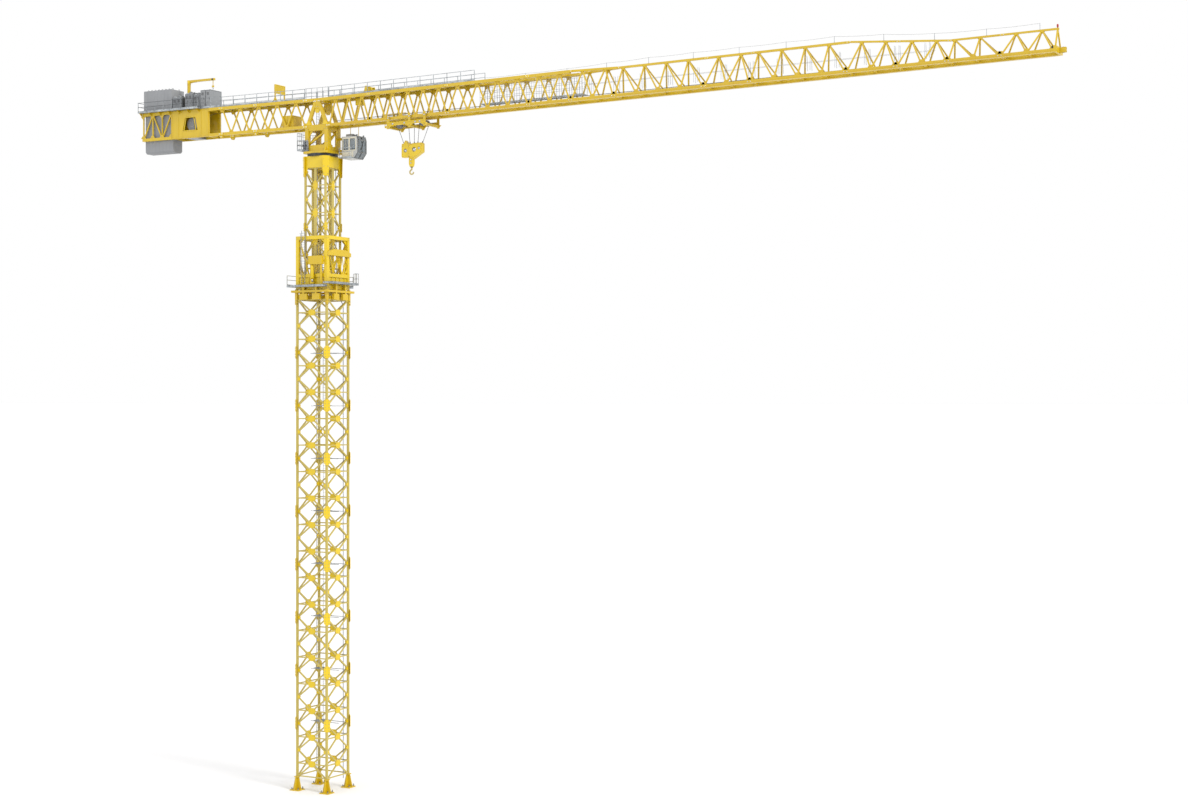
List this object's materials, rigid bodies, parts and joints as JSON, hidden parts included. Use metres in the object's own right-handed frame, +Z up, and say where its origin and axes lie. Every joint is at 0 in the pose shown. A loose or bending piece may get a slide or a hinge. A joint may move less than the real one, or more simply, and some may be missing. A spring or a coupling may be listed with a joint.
{
  "type": "tower crane scale model",
  "caption": "Flat-top tower crane at one tenth of real size: braced mast with a climbing inner mast, slewing jib and counter-jib, cab, trolley and hook.",
  "frame": {"origin": "on the ground on the slewing axis, midway between the four feet, in the plane of the underside of their base plates", "axes": "+Z up, +X out along the jib at rest, +Y to the side that carries the cab"},
  "size_m": [10.8106, 0.567, 8],
  "materials": {
    "yellow_paint": "satin",
    "galvanised_steel": "satin",
    "dark_steel": "satin",
    "grey_paint": "satin",
    "cab_paint": "gloss",
    "cab_glass": "gloss",
    "concrete": "matte",
    "wire_rope": "satin"
  },
  "bodies": {
    "tower": {"anchor_feet": "yellow_paint", "mast_legs": "yellow_paint", "mast_bracing_front": "yellow_paint", "mast_bracing_rear": "yellow_paint", "mast_bracing_left": "yellow_paint", "mast_bracing_right": "yellow_paint", "inner_mast_legs": "yellow_paint", "inner_bracing_front": "yellow_paint", "inner_bracing_rear": "yellow_paint", "inner_bracing_left": "yellow_paint", "inner_bracing_right": "yellow_paint", "support_beams": "yellow_paint", "climbing_shoes": "yellow_paint", "climbing_frame": "yellow_paint", "climbing_guides": "dark_steel", "climbing_gear": "yellow_paint", "climbing_brackets": "yellow_paint", "climbing_platform": "galvanised_steel", "climbing_railing": "galvanised_steel", "ring_support": "yellow_paint", "slewing_ring_fixed": "dark_steel"},
    "slewing_top": {"slewing_ring_turning": "dark_steel", "turntable": "yellow_paint", "slewing_drives": "grey_paint", "tower_head": "yellow_paint", "head_platform": "galvanised_steel", "cab_shell": "cab_paint", "cab_glazing": "cab_glass", "cab_supports": "yellow_paint", "cab_walkway": "galvanised_steel", "jib_section_1": "yellow_paint", "jib_section_2": "yellow_paint", "jib_section_3": "yellow_paint", "jib_section_4": "yellow_paint", "jib_section_5": "yellow_paint", "jib_section_6": "yellow_paint", "jib_tip": "yellow_paint", "jib_walkway": "galvanised_steel", "jib_railings": "galvanised_steel", "counter_jib_truss": "yellow_paint", "counter_jib_rear": "yellow_paint", "counter_jib_deck": "galvanised_steel", "counter_jib_railings": "galvanised_steel", "counterweights": "concrete", "hoist_winch": "dark_steel", "deck_machinery": "grey_paint", "deck_cabinets": "grey_paint", "davit_post": "yellow_paint", "portal_board": "yellow_paint"},
    "trolley": {"trolley_frame": "yellow_paint", "trolley_wheels": "dark_steel", "trolley_basket": "yellow_paint"},
    "hook_block": {"hook_block": "yellow_paint", "hoist_ropes": "wire_rope"},
    "hook": {"hook": "dark_steel"},
    "davit_arm": {"davit_arm": "yellow_paint"}
  },
  "joints": [
    {"name": "slew", "type": "hinge", "parent": "tower", "child": "slewing_top", "pos_m": [0, 0, 7.017], "axis": [0, 0, 1], "continuous": true},
    {"name": "trolley_travel", "type": "slide", "parent": "slewing_top", "child": "trolley", "axis": [0.9998, 0, 0.0175], "range_m": [-0.3, 6.6]},
    {"name": "hoist", "type": "slide", "parent": "trolley", "child": "hook_block", "axis": [0, 0, -1], "range_m": [-0.03, 6.6], "deforming": ["hoist_ropes"]},
    {"name": "hook_swivel", "type": "hinge", "parent": "hook_block", "child": "hook", "pos_m": [1.17982, 0, 6.773], "axis": [0, 0, 1], "continuous": true},
    {"name": "davit_slew", "type": "hinge", "parent": "slewing_top", "child": "davit_arm", "pos_m": [-1.898, 0, 7.99], "axis": [0, 0, 1], "range_deg": [-150, 150]}
  ]
}
